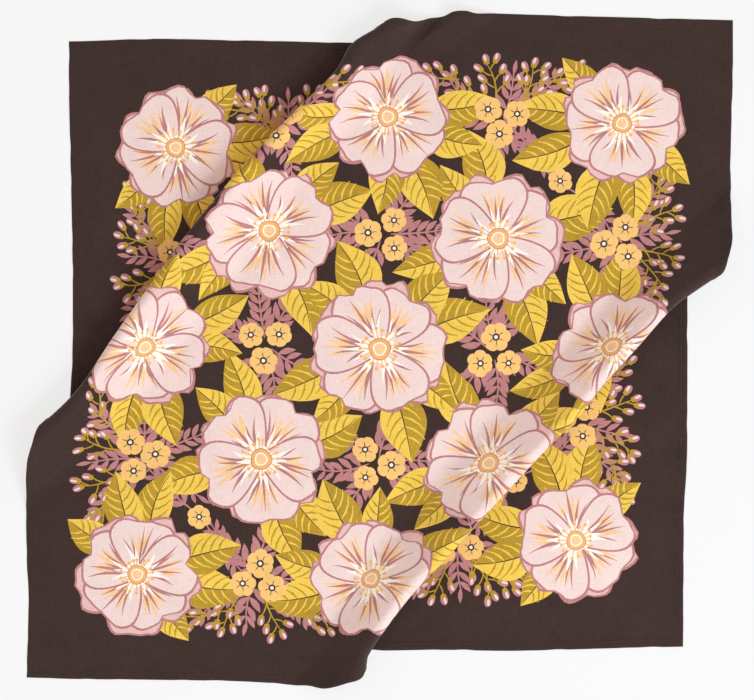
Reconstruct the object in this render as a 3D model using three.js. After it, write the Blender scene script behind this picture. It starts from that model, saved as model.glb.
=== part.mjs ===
// A printed cotton bandana laid out on a level surface, with two soft waves of slack cloth across it.
// Millimetres, +Z up. The surface is z = 0 and the origin is under the middle of the cloth.
// "Along" runs with the waves, from the lower left to the upper right corner, and "across" runs over
// them, from the upper left to the lower right corner.
import * as THREE from "three";

const side = 559; // edge of the square when it is spread flat
const halfDiagonal = side / Math.SQRT2;
const clothThickness = 1;
const hemWidth = 6;
const hemRise = 0.5; // what the turned-over layers of the hem add
const crestRadius = 5.5; // of the underside over a wave's crest
const heelRadius = 4.5; // of the underside where a wave comes back to the surface
const tuckFootRadius = 14; // the same two bends of the small step in a wave's inner face
const tuckCrestRadius = 4;
const middleTurn = THREE.MathUtils.degToRad(-2.06); // of the band between the waves, seen from above
const cornerFade = 40; // half width of the cloth below which a hem's drift dies out towards a corner

// Each row is one section of a wave, square to it.
//   along   where the section is
//   crest   how far the crest's outer edge lies from the long diagonal
//   foot    radius with which the cloth leaves the surface
//   climb   slope of the face on the side of the middle, degrees
//   drop    slope of the outer face, degrees; past 90 the crest hangs over
//   slack   cloth that the wave takes up
const upperLeftWave = {
  across: -1,
  turn: 0.0375, // how far the corner beyond the wave is turned against the middle band, radians
  sections: [
    { along: -245, crest: 144, foot: 16, climb: 35, drop: 138, slack: 41 },
    { along: -200, crest: 145, foot: 20, climb: 35, drop: 140, slack: 43 },
    { along: -150, crest: 156, foot: 24, climb: 32, drop: 141, slack: 42 },
    { along: -92, crest: 168, foot: 28, climb: 30, drop: 140, slack: 39.8 },
    { along: -47, crest: 177, foot: 28, climb: 29, drop: 138, slack: 38.2 },
    { along: 17, crest: 186, foot: 26, climb: 31, drop: 134, slack: 35.8 },
    { along: 80, crest: 190.5, foot: 20, climb: 36, drop: 124, slack: 33.4 },
    { along: 135, crest: 192.5, foot: 18, climb: 35, drop: 133, slack: 32 },
    { along: 159, crest: 199.5, foot: 14, climb: 38, drop: 137, slack: 32 },
    { along: 183, crest: 195, foot: 10, climb: 43, drop: 139, slack: 31.5 },
    { along: 205, crest: 191, foot: 7, climb: 54, drop: 139, slack: 31 },
    { along: 235, crest: 188, foot: 5.5, climb: 60, drop: 140, slack: 31 },
  ],
  // A step in the inner face at the upper hem, which dies out away from it. Its own two faces are
  // given by length.
  tuck: [
    { along: 168, climb: 0, drop: 0, rising: 12, falling: 0 },
    { along: 192, climb: 10, drop: 20, rising: 14, falling: 0.5 },
    { along: 214, climb: 22, drop: 58, rising: 17, falling: 1 },
    { along: 245, climb: 30, drop: 84, rising: 19, falling: 2 },
  ],
};
const lowerRightWave = {
  across: 1,
  turn: 0.04,
  sections: [
    { along: -210, crest: 192, foot: 16, climb: 38, drop: 138, slack: 39 },
    { along: -193, crest: 185.5, foot: 18, climb: 37, drop: 139, slack: 39 },
    { along: -179, crest: 178, foot: 20, climb: 35, drop: 140, slack: 39.5 },
    { along: -127, crest: 167, foot: 24, climb: 33, drop: 140, slack: 41.3 },
    { along: -86, crest: 164, foot: 26, climb: 34, drop: 136, slack: 43 },
    { along: -42, crest: 160, foot: 28, climb: 31, drop: 142, slack: 44.7 },
    { along: 22, crest: 155, foot: 30, climb: 30, drop: 145, slack: 47.3 },
    { along: 80, crest: 152, foot: 28, climb: 32, drop: 143, slack: 48.5 },
    { along: 108, crest: 147, foot: 26, climb: 35, drop: 139, slack: 49 },
    { along: 150, crest: 143.5, foot: 24, climb: 37, drop: 136, slack: 49.5 },
    { along: 190, crest: 139.5, foot: 20, climb: 34, drop: 141, slack: 49.5 },
    { along: 221, crest: 143.3, foot: 18, climb: 32, drop: 144, slack: 49.5 },
    { along: 255, crest: 148.5, foot: 16, climb: 31, drop: 144, slack: 49.5 },
  ],
  tuck: [],
};
// How far each hem lies outside its straight line, by the cloth's distance from the long diagonal.
const upperLeftDrift = {
  leftHem: [
    { across: 0, drift: 0.6 },
    { across: 45, drift: 1.9 },
    { across: 69, drift: 5.4 },
    { across: 107, drift: 9 },
    { across: 136, drift: 11 },
    { across: 152, drift: 1 },
    { across: 193, drift: -2.4 },
    { across: 225, drift: -4 },
    { across: 285, drift: -3.2 },
    { across: 350, drift: -0.6 },
    { across: 395, drift: 1 },
  ],
  upperHem: [
    { across: 0, drift: 0.6 },
    { across: 130, drift: -1 },
    { across: 148, drift: 0.5 },
    { across: 160, drift: 4 },
    { across: 173, drift: -1 },
    { across: 182, drift: -3 },
    { across: 194, drift: 2 },
    { across: 215, drift: 0 },
    { across: 262, drift: 0 },
    { across: 308, drift: 1.5 },
    { across: 355, drift: 3 },
    { across: 395, drift: 1 },
  ],
};
const lowerRightDrift = {
  lowerHem: [
    { across: 0, drift: 1.5 },
    { across: 30, drift: 0.6 },
    { across: 77, drift: -1.9 },
    { across: 123, drift: -3.5 },
    { across: 150, drift: -1.8 },
    { across: 166, drift: 2 },
    { across: 180, drift: 8 },
    { across: 197, drift: 1.5 },
    { across: 222, drift: 3.4 },
    { across: 254, drift: 2.6 },
    { across: 300, drift: 4.2 },
    { across: 360, drift: 1.4 },
    { across: 395, drift: 1.6 },
  ],
  rightHem: [
    { across: 0, drift: 1.5 },
    { across: 34, drift: 3.3 },
    { across: 86, drift: 4.4 },
    { across: 127, drift: 10 },
    { across: 140, drift: 11 },
    { across: 156, drift: 2 },
    { across: 196, drift: 2 },
    { across: 240, drift: 3.2 },
    { across: 286, drift: 3.6 },
    { across: 320, drift: 0.6 },
    { across: 395, drift: 1.2 },
  ],
};

// Rows of the mesh over each stretch of the cloth, and columns over the cloth inside the hems.
const flatRows = 5;
const footRows = 3;
const faceRows = 3;
const crestRows = 7;
const dropRows = 2;
const heelRows = 5;
const tuckRows = 2;
const cornerRows = 6;
const innerColumns = 28;
const hemStep = 0.2; // share of the hem's width over which the cloth thickens into it
const tipRow = 2; // from the hem's inner corner to the first row inside a corner's tip
const samePlace = 0.01; // points nearer than this are one point
const settlePasses = 12; // rounds that bring a grid point's row and column into agreement

// The value of one column of a table at a place between its rows, along a smooth curve.
function tableValue(rows, place, key, value) {
  const last = rows.length - 1;
  if (last === 0 || value <= rows[0][place]) {
    return rows[0][key];
  }
  if (value >= rows[last][place]) {
    return rows[last][key];
  }
  let i = 0;
  while (rows[i + 1][place] < value) {
    i += 1;
  }
  const slope = (j) => {
    const a = rows[Math.max(j - 1, 0)];
    const b = rows[Math.min(j + 1, last)];
    return (b[key] - a[key]) / (b[place] - a[place]);
  };
  const span = rows[i + 1][place] - rows[i][place];
  const t = (value - rows[i][place]) / span;
  const rise = rows[i + 1][key] - rows[i][key];
  const near = slope(i) * span;
  const far = slope(i + 1) * span;
  return (
    rows[i][key] +
    t * near +
    t * t * (3 * rise - 2 * near - far) +
    t * t * t * (near + far - 2 * rise)
  );
}

// An arc of cloth whose slope goes from one angle to another, in radians.
function arc(from, to, radius, rows) {
  const length = radius * Math.abs(to - from);
  return { from, to, length, rows };
}

// A straight face of cloth at one slope.
function face(angle, length, rows) {
  return { from: angle, to: angle, length, rows };
}

// How far a stretch of cloth gets, forwards and upwards, in its first part of the given length.
function advance(piece, length) {
  const bend = piece.to - piece.from;
  if (Math.abs(bend) < 1e-9) {
    return [length * Math.cos(piece.from), length * Math.sin(piece.from)];
  }
  const radius = piece.length / bend;
  const angle = piece.from + length / radius;
  return [
    radius * (Math.sin(angle) - Math.sin(piece.from)),
    radius * (Math.cos(piece.from) - Math.cos(angle)),
  ];
}

// Sum of one measure over several stretches.
function total(pieces, measure) {
  return pieces.reduce((sum, piece) => sum + measure(piece), 0);
}
const gained = (piece) => advance(piece, piece.length)[0];
const raised = (piece) => advance(piece, piece.length)[1];
const taken = (piece) => piece.length - gained(piece);

// The stretches of a main wave that starts at a height. Its two faces are as long as brings the cloth
// back to the surface with the wanted slack taken up.
function mainWave(section, startHeight) {
  const climb = THREE.MathUtils.degToRad(section.climb);
  const drop = THREE.MathUtils.degToRad(section.drop);
  const foot = arc(0, climb, section.foot, footRows);
  const crest = arc(climb, -drop, crestRadius, crestRows);
  const heel = arc(-drop, 0, heelRadius, heelRows);
  const bends = [foot, crest, heel];
  const height = -startHeight - total(bends, raised);
  const slack = section.slack - total(bends, taken);
  const climbTaken = 1 - Math.cos(climb);
  const dropTaken = 1 - Math.cos(drop);
  const scale = Math.sin(climb) * dropTaken + Math.sin(drop) * climbTaken;
  const climbLength = (height * dropTaken + Math.sin(drop) * slack) / scale;
  const dropLength = (Math.sin(climb) * slack - climbTaken * height) / scale;
  return [foot, face(climb, climbLength, faceRows), crest, face(-drop, dropLength, dropRows), heel];
}

// The stretches of the step in the inner face, flat where it has died out.
function tuckWave(rows, along) {
  const value = (key) => tableValue(rows, "along", key, along);
  const climb = THREE.MathUtils.degToRad(value("climb"));
  const drop = THREE.MathUtils.degToRad(value("drop"));
  return [
    arc(0, climb, tuckFootRadius, tuckRows),
    face(climb, value("rising"), tuckRows),
    arc(climb, -drop, tuckCrestRadius, tuckRows * 2),
    face(-drop, value("falling"), 1),
    arc(-drop, 0, heelRadius, tuckRows * 2),
  ];
}

// One section of a wave, from the middle band outwards: its stretches and where they start on the cloth.
function waveSection(wave, along) {
  const section = {};
  for (const key of ["crest", "foot", "climb", "drop", "slack"]) {
    section[key] = tableValue(wave.sections, "along", key, along);
  }
  const tuck = wave.tuck.length > 0 ? tuckWave(wave.tuck, along) : [];
  section.slack -= total(tuck, taken);
  const main = mainWave(section, total(tuck, raised));
  const crestReach = crestRadius * (1 + Math.sin(main[2].from)) + clothThickness;
  const start = section.crest - total([...tuck, main[0], main[1]], gained) - crestReach;
  return { pieces: [...tuck, ...main], start };
}

// Where the cloth at a distance from the diagonal lies in a section: distance outwards and height.
function placeInSection(section, distance) {
  let rest = distance - section.start;
  if (rest <= 0) {
    return [distance, 0];
  }
  let out = section.start;
  let up = 0;
  for (const piece of section.pieces) {
    const step = advance(piece, Math.min(rest, piece.length));
    out += step[0];
    up += step[1];
    rest -= piece.length;
    if (rest <= 0) {
      return [out, up];
    }
  }
  return [out + rest, 0];
}

// Distances from the diagonal, on the cloth, of every row of the mesh in one section.
function rowDistances(section) {
  const rows = [];
  for (let i = 0; i < flatRows; i += 1) {
    rows.push((section.start * i) / flatRows);
  }
  let distance = section.start;
  for (const piece of section.pieces) {
    for (let i = 0; i < piece.rows; i += 1) {
      rows.push(distance + (piece.length * i) / piece.rows);
    }
    distance += piece.length;
  }
  const hemCorner = halfDiagonal - hemWidth * Math.SQRT2;
  for (let i = 0; i < cornerRows; i += 1) {
    rows.push(distance + ((hemCorner - distance) * i) / cornerRows);
  }
  rows.push(hemCorner, hemCorner + tipRow, halfDiagonal);
  return rows;
}

// Shares of the half row, from 0 at the middle to 1 at the edge, of every column of the mesh.
function columnShares(halfRow) {
  const hem = Math.min((hemWidth * Math.SQRT2) / Math.max(halfRow, samePlace), 0.5);
  const inner = 1 - hem * (1 + hemStep);
  const half = innerColumns / 2;
  const shares = [];
  for (let i = 0; i <= half; i += 1) {
    shares.push((inner * i) / half);
  }
  shares.push(1 - hem, 1);
  return shares;
}

// The cloth's own place, across and along, of one point of the mesh's grid on one side of the diagonal.
function clothPlace(wave, row, column) {
  const sign = Math.sign(column);
  let along = 0;
  let distance = 0;
  for (let pass = 0; pass < settlePasses; pass += 1) {
    distance = rowDistances(waveSection(wave, along))[row];
    const halfRow = halfDiagonal - distance;
    along = sign * columnShares(halfRow)[Math.abs(column)] * halfRow;
  }
  return { distance, along };
}

// The point of the cloth's underside at one place of the cloth.
function clothPoint(wave, drift, distance, along) {
  const section = waveSection(wave, along);
  const [out, up] = placeInSection(section, distance);
  const length = total(section.pieces, (piece) => piece.length);
  const past = THREE.MathUtils.smoothstep(distance, section.start, section.start + length);
  const across = wave.across * distance;
  const halfRow = Math.max(halfDiagonal - distance, samePlace);
  const edge = along < 0 ? drift.below : drift.above;
  const share = (along / halfRow) ** 2 * Math.min(halfRow / cornerFade, 1);
  const hem = Math.sign(along) * share * tableValue(edge, "across", "drift", distance);
  const u = wave.across * out;
  const v = along + wave.turn * across * past + hem;
  const point = new THREE.Vector3((u + v) / Math.SQRT2, (v - u) / Math.SQRT2, up);
  return point.applyAxisAngle(new THREE.Vector3(0, 0, 1), middleTurn);
}

// How thick the cloth is at one place: more over the hem.
function thicknessAt(distance, along) {
  const fromEdge = (halfDiagonal - distance - Math.abs(along)) / Math.SQRT2;
  return fromEdge < hemWidth + samePlace ? clothThickness + hemRise : clothThickness;
}

// The grid of the underside: rows from the upper left to the lower right corner.
function clothGrid() {
  const columns = innerColumns / 2 + 2;
  const rowCount = rowDistances(waveSection(upperLeftWave, 0)).length;
  const otherCount = rowDistances(waveSection(lowerRightWave, 0)).length;
  const grid = [];
  const addRow = (wave, drift, row) => {
    const line = [];
    for (let column = -columns; column <= columns; column += 1) {
      const place = clothPlace(wave, row, column);
      const point = clothPoint(wave, drift, place.distance, place.along);
      line.push({ point, thickness: thicknessAt(place.distance, place.along) });
    }
    grid.push(line);
  };
  for (let row = rowCount - 1; row > 0; row -= 1) {
    addRow(upperLeftWave, { below: upperLeftDrift.leftHem, above: upperLeftDrift.upperHem }, row);
  }
  for (let row = 0; row < otherCount; row += 1) {
    addRow(lowerRightWave, { below: lowerRightDrift.lowerHem, above: lowerRightDrift.rightHem }, row);
  }
  return grid;
}

// For each grid point the first of those that fall together with it, as at the corners' tips.
function firstPlaces(points, columnCount) {
  const first = [];
  points.forEach((point, i) => {
    const near = [i - columnCount, i - 1].find((j) => j >= 0 && point.distanceTo(points[j]) < samePlace);
    first.push(near === undefined ? i : first[near]);
  });
  return first;
}

// Triangles of the grid, facing up, without those that have no area.
function gridTriangles(first, rowCount, columnCount) {
  const triangles = [];
  const add = (...corners) => {
    const [a, b, c] = corners.map((corner) => first[corner]);
    if (a !== b && b !== c && c !== a) {
      triangles.push([a, b, c]);
    }
  };
  for (let row = 0; row < rowCount - 1; row += 1) {
    for (let column = 0; column < columnCount - 1; column += 1) {
      const a = row * columnCount + column;
      const b = a + columnCount;
      add(a, b, b + 1);
      add(a, b + 1, a + 1);
    }
  }
  return triangles;
}

// The edges that only one triangle has, as that triangle runs along them.
function rimEdges(triangles) {
  const edges = new Map();
  for (const [a, b, c] of triangles) {
    for (const [from, to] of [[a, b], [b, c], [c, a]]) {
      if (!edges.delete(`${to} ${from}`)) {
        edges.set(`${from} ${to}`, [from, to]);
      }
    }
  }
  return edges.values();
}

// The closed sheet: underside, upper side and the rim between them.
function sheetGeometry() {
  const grid = clothGrid();
  const flat = grid.flat();
  const under = flat.map((place) => place.point);
  const first = firstPlaces(under, grid[0].length);
  const triangles = gridTriangles(first, grid.length, grid[0].length);

  const surface = new THREE.BufferGeometry().setFromPoints(under);
  surface.setIndex(triangles.flat());
  surface.computeVertexNormals();
  const normals = surface.getAttribute("normal");
  const upper = flat.map((place, i) => {
    const normal = new THREE.Vector3().fromBufferAttribute(normals, i);
    return place.point.clone().addScaledVector(normal, place.thickness);
  });

  const count = under.length;
  const faces = triangles.map(([a, b, c]) => [a + count, b + count, c + count]);
  faces.push(...triangles.map(([a, b, c]) => [c, b, a]));
  for (const [a, b] of rimEdges(triangles)) {
    faces.push([a, b, b + count], [a, b + count, a + count]);
  }
  const geometry = new THREE.BufferGeometry().setFromPoints([...under, ...upper]);
  geometry.setIndex(faces.flat());
  return geometry;
}

// Plain brown printed cotton.
function clothMaterial() {
  return new THREE.MeshStandardMaterial({ color: 0x45352f, roughness: 0.92, metalness: 0 });
}

const group = new THREE.Group();
const cloth = new THREE.Mesh(sheetGeometry(), clothMaterial());
cloth.name = "bandana_cloth";
// The waves draw the cloth in unevenly, so it is moved a little to lie with its middle on the origin.
const middle = new THREE.Box3().setFromObject(cloth).getCenter(new THREE.Vector3());
cloth.position.set(-middle.x, -middle.y, 0);
group.add(cloth);

export default group;
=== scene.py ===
"""A printed cotton bandana laid out on a pale table, with two soft waves of slack cloth across it."""

import logging
from collections.abc import Callable, Sequence
from dataclasses import dataclass, field
from enum import Enum
from functools import partial
from math import radians
from typing import NamedTuple, Protocol, TypeVar

import bpy
import numpy as np
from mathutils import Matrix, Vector
from mathutils.geometry import delaunay_2d_cdt


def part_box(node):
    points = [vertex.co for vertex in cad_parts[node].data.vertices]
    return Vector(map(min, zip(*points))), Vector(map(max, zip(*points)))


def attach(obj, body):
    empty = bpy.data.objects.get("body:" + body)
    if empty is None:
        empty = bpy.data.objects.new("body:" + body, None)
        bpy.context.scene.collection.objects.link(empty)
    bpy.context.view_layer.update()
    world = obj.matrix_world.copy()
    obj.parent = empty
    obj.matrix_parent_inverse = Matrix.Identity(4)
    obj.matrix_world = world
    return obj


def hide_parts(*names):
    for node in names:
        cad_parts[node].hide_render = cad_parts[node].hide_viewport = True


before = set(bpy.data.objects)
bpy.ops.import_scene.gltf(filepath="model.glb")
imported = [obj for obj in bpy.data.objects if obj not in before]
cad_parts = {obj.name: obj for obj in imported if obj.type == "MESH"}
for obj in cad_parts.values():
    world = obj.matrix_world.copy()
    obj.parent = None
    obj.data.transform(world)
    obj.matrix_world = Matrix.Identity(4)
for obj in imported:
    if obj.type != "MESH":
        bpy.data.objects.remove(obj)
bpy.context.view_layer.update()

LOG = logging.getLogger("bandana")
MM = 0.001
SIDE = 559.0  # edge of the square when it is spread flat, millimetres as all sizes of the cloth
HALF = SIDE / 2
ROOT2 = np.sqrt(2.0)
HALF_DIAGONAL = SIDE / ROOT2
SAME_PLACE = 1e-4  # a shorter length counts as none
TIGHT = 2.2  # where the straight lines must be shorter than this, the net keeps all its places
QUARTER_TURNS = ((1, 0), (0, 1), (-1, 0), (0, -1))  # cosine and sine of each

Row = TypeVar("Row")


# Colour.


def linear(code: str) -> tuple[float, float, float, float]:
    """A colour in linear light, with full alpha.

    Args:
        code: the colour as six hex digits.

    Returns:
        Red, green, blue and alpha.
    """
    srgb = np.array([int(code[i : i + 2], 16) for i in (0, 2, 4)]) / 255
    low = srgb / 12.92
    high = ((srgb + 0.055) / 1.055) ** 2.4
    return (*np.where(srgb <= 0.04045, low, high).tolist(), 1.0)


class Ink(Enum):
    """The dyed ground and the printing inks, as they look in even daylight."""

    GROUND = "3C2B27"
    PETAL = "EFD5D0"
    PETAL_DEEP = "E6BDB8"
    MAUVE = "BC7F7F"
    CREAM = "FCF6EA"
    PEACH = "F8CB98"
    ORANGE = "F6B569"
    APRICOT = "F7C578"
    GOLD = "F0C954"
    OLIVE = "B9942E"
    DARK = "4B3730"


# The cloth's form.


class WaveSection(NamedTuple):
    """One section of a wave, square to it: lengths in millimetres and slopes in degrees."""

    along: float  # where the section is
    crest: float  # how far the crest's outer edge lies from the long diagonal
    foot: float  # radius with which the cloth leaves the surface
    climb: float  # slope of the face on the side of the middle
    drop: float  # slope of the outer face; past 90 the crest hangs over
    slack: float  # cloth that the wave takes up


class TuckSection(NamedTuple):
    """One section of a small step in a wave's inner face."""

    along: float
    climb: float
    drop: float
    rising: float  # length of the rising face
    falling: float  # length of the falling face


class HemDrift(NamedTuple):
    """How far a hem lies outside its straight line at a distance from the long diagonal."""

    across: float
    drift: float


def table(kind: Callable[..., Row], *rows: tuple[float, ...]) -> tuple[Row, ...]:
    """A table with the named columns of its kind."""
    return tuple(kind(*row) for row in rows)


def table_values(rows: Sequence[tuple[float, ...]], place: np.ndarray) -> np.ndarray:
    """The columns of a table at places between its rows, along smooth curves.

    Between two rows a value follows the cubic whose slope at each row is that of the line through the
    rows on either side of it. Outside the table it keeps the value of the nearest row.

    Args:
        rows: the table, its first column being the place.
        place: where the values are wanted.

    Returns:
        One row of values for each place, without the first column.
    """
    table = np.array(rows, float)
    at, values = table[:, 0], table[:, 1:]
    last = len(at) - 1
    index = np.arange(len(at))
    before, after = np.maximum(index - 1, 0), np.minimum(index + 1, last)
    slopes = (values[after] - values[before]) / (at[after] - at[before])[:, None]
    inside = np.clip(place, at[0], at[-1])
    low = np.clip(np.searchsorted(at, inside, side="right") - 1, 0, last - 1)
    span = (at[low + 1] - at[low])[:, None]
    t = (inside - at[low])[:, None] / span
    rise = values[low + 1] - values[low]
    near, far = slopes[low] * span, slopes[low + 1] * span
    return values[low] + t * near + t**2 * (3 * rise - 2 * near - far) + t**3 * (near + far - 2 * rise)


def diagonal(flat: np.ndarray) -> tuple[np.ndarray, np.ndarray]:
    """How far each flat place lies across the long diagonal, and how far along it."""
    x, y = flat.T
    return (x - y) / ROOT2, (x + y) / ROOT2


def smoothstep(value: np.ndarray, low: np.ndarray | float, high: np.ndarray | float) -> np.ndarray:
    """0 below low, 1 above high and a smooth ramp between them."""
    t = np.clip((value - low) / (high - low), 0, 1)
    return t * t * (3 - 2 * t)


@dataclass(frozen=True)
class Stretch:
    """Stretches of cloth in many sections at once, each with an even bend from one slope to another."""

    start: np.ndarray
    end: np.ndarray
    length: np.ndarray

    def advance(self, part: np.ndarray) -> tuple[np.ndarray, np.ndarray]:
        """How far each stretch gets in its first part.

        A bend of curvature k gets (sin b - sin a) / k forwards and (cos a - cos b) / k upwards, where a
        is its slope at the start and b that after the part. A straight face gets its length times the
        cosine and the sine of its slope.

        Args:
            part: length of the part of each stretch.

        Returns:
            The distances forwards and upwards.
        """
        bend = self.end - self.start
        curved = (np.abs(bend) > 1e-9) & (self.length > 1e-9)
        curvature = np.where(curved, bend / np.where(curved, self.length, 1), 1)
        slope = self.start + curvature * part
        forwards = np.where(
            curved, (np.sin(slope) - np.sin(self.start)) / curvature, part * np.cos(self.start)
        )
        upwards = np.where(
            curved, (np.cos(self.start) - np.cos(slope)) / curvature, part * np.sin(self.start)
        )
        return forwards, upwards

    def gained(self) -> np.ndarray:
        """How far the whole stretch gets forwards."""
        return self.advance(self.length)[0]

    def raised(self) -> np.ndarray:
        """How far the whole stretch gets upwards."""
        return self.advance(self.length)[1]

    def taken(self) -> np.ndarray:
        """The cloth that the whole stretch takes up."""
        return self.length - self.gained()


def bend(start: np.ndarray, end: np.ndarray, radius: np.ndarray | float) -> Stretch:
    """An arc of cloth between two slopes."""
    return Stretch(start, end, radius * np.abs(end - start))


@dataclass(frozen=True)
class Wave:
    """A soft wave across the cloth, which runs along it from hem to hem."""

    across: float  # -1 towards the upper left corner, 1 towards the lower right one
    turn: float  # how far the corner beyond it is turned against the middle band, radians
    sections: tuple[WaveSection, ...]
    tuck: tuple[TuckSection, ...]
    lower_hem: tuple[HemDrift, ...]  # of the hem at its lower left end
    upper_hem: tuple[HemDrift, ...]  # of the hem at its upper right end
    crest_radius: float = 5.5
    heel_radius: float = 4.5
    tuck_foot: float = 14.0
    tuck_crest: float = 4.0
    sheet_in_crest: float = 1.0  # the solid sheet's thickness, which the crest's edge includes
    corner_fade: float = 40.0  # half width of the cloth below which a hem's drift dies out

    def tuck_stretches(self, along: np.ndarray) -> list[Stretch]:
        """The stretches of the step in the inner face.

        Args:
            along: where the sections are.

        Returns:
            The stretches, or none where the wave has no such step.
        """
        if not self.tuck:
            return []
        climb, drop, rising, falling = table_values(self.tuck, along).T
        climb, drop, level = np.radians(climb), np.radians(drop), np.zeros_like(along)
        return [
            bend(level, climb, self.tuck_foot),
            Stretch(climb, climb, rising),
            bend(climb, -drop, self.tuck_crest),
            Stretch(-drop, -drop, falling),
            bend(-drop, level, self.heel_radius),
        ]

    def stretches(self, along: np.ndarray) -> tuple[list[Stretch], np.ndarray]:
        """The stretches of the sections at places along the wave.

        Foot, climbing face, crest, falling face and heel. The two faces are as long as brings the cloth
        back to the surface with the wanted slack taken up, which is a pair of linear equations.

        Args:
            along: where the sections are.

        Returns:
            The stretches from the middle band outwards, and the cloth's distance where they start.
        """
        crest_at, foot_radius, climb, drop, slack = table_values(self.sections, along).T
        climb, drop, level = np.radians(climb), np.radians(drop), np.zeros_like(along)
        tuck = self.tuck_stretches(along)
        foot = bend(level, climb, foot_radius)
        crest = bend(climb, -drop, self.crest_radius)
        heel = bend(-drop, level, self.heel_radius)
        rest = [*tuck, foot, crest, heel]
        height = -sum(piece.raised() for piece in rest)
        spare = slack - sum(piece.taken() for piece in rest)
        climb_taken, drop_taken = 1 - np.cos(climb), 1 - np.cos(drop)
        scale = np.sin(climb) * drop_taken + np.sin(drop) * climb_taken
        rising = Stretch(climb, climb, (height * drop_taken + np.sin(drop) * spare) / scale)
        falling = Stretch(-drop, -drop, (np.sin(climb) * spare - climb_taken * height) / scale)
        reach = self.crest_radius * (1 + np.sin(climb)) + self.sheet_in_crest
        start = crest_at - reach - sum(piece.gained() for piece in [*tuck, foot, rising])
        return [*tuck, foot, rising, crest, falling, heel], start

    def holds(self, flat: np.ndarray, beyond: float = 0.0) -> np.ndarray:
        """Which flat places lie in the wave.

        Args:
            flat: places on the flat cloth.
            beyond: how far outside the wave a place still counts.

        Returns:
            True for each such place.
        """
        across, along = diagonal(flat)
        pieces, start = self.stretches(along)
        distance, end = self.across * across, start + sum(piece.length for piece in pieces)
        return (distance > start - beyond) & (distance < end + beyond)

    def on_crest(self, distance: np.ndarray, along: np.ndarray, ramp: float = 2.0) -> np.ndarray:
        """Where the crest's bend is.

        Args:
            distance: the cloth's distance from its long diagonal.
            along: its place along that diagonal.
            ramp: width of the ramps beyond both ends of the bend.

        Returns:
            1 over the bend, falling to 0 over the ramps.
        """
        pieces, start = self.stretches(along)
        start = start + sum(piece.length for piece in pieces[:-3])
        end = start + pieces[-3].length
        return smoothstep(distance, start - ramp, start) * (1 - smoothstep(distance, end, end + ramp))

    def place(self, distance: np.ndarray, along: np.ndarray) -> np.ndarray:
        """Where the cloth of this side lies, before the whole is turned.

        Args:
            distance: the cloth's distance from its long diagonal.
            along: its place along that diagonal.

        Returns:
            Points (u, v, up): u across and v along the cloth as it lies.
        """
        pieces, start = self.stretches(along)
        out, up, rest = np.minimum(distance, start), np.zeros_like(distance), distance - start
        for piece in pieces:
            forwards, upwards = piece.advance(np.maximum(np.minimum(rest, piece.length), 0))
            out, up, rest = out + forwards, up + upwards, rest - piece.length
        out = out + np.maximum(rest, 0)
        end = start + sum(piece.length for piece in pieces)
        past = smoothstep(distance, start, end)
        half_row = np.maximum(HALF_DIAGONAL - distance, SAME_PLACE)
        share = np.minimum(np.abs(along) / half_row, 1) ** 2
        share = share * np.minimum(half_row / self.corner_fade, 1)
        lower = table_values(self.lower_hem, distance)[:, 0]
        upper = table_values(self.upper_hem, distance)[:, 0]
        hem = np.sign(along) * share * np.where(along < 0, lower, upper)
        u = self.across * out
        v = along + self.turn * self.across * distance * past + hem
        return np.stack([u, v, up], 1)


UPPER_LEFT_WAVE = Wave(
    across=-1,
    turn=0.0375,
    sections=(
        WaveSection(-245, 144, 16, 35, 138, 41),
        WaveSection(-200, 145, 20, 35, 140, 43),
        WaveSection(-150, 156, 24, 32, 141, 42),
        WaveSection(-92, 168, 28, 30, 140, 39.8),
        WaveSection(-47, 177, 28, 29, 138, 38.2),
        WaveSection(17, 186, 26, 31, 134, 35.8),
        WaveSection(80, 190.5, 20, 36, 124, 33.4),
        WaveSection(135, 192.5, 18, 35, 133, 32),
        WaveSection(159, 199.5, 14, 38, 137, 32),
        WaveSection(183, 195, 10, 43, 139, 31.5),
        WaveSection(205, 191, 7, 54, 139, 31),
        WaveSection(235, 188, 5.5, 60, 140, 31),
    ),
    tuck=(
        TuckSection(168, 0, 0, 12, 0),
        TuckSection(192, 10, 20, 14, 0.5),
        TuckSection(214, 22, 58, 17, 1),
        TuckSection(245, 30, 84, 19, 2),
    ),
    lower_hem=table(
        HemDrift,
        (0, 1.05), (45, 1.9), (69, 5.4), (107, 9), (136, 11), (152, 1), (193, -2.4), (225, -4),
        (285, -3.2), (350, -0.6), (395, 1),
    ),
    upper_hem=table(
        HemDrift,
        (0, 1.05), (130, -1), (148, 0.5), (160, 4), (173, -1), (182, -3), (194, 2), (215, 0),
        (262, 0), (308, 1.5), (355, 3), (395, 1),
    ),
)
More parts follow.
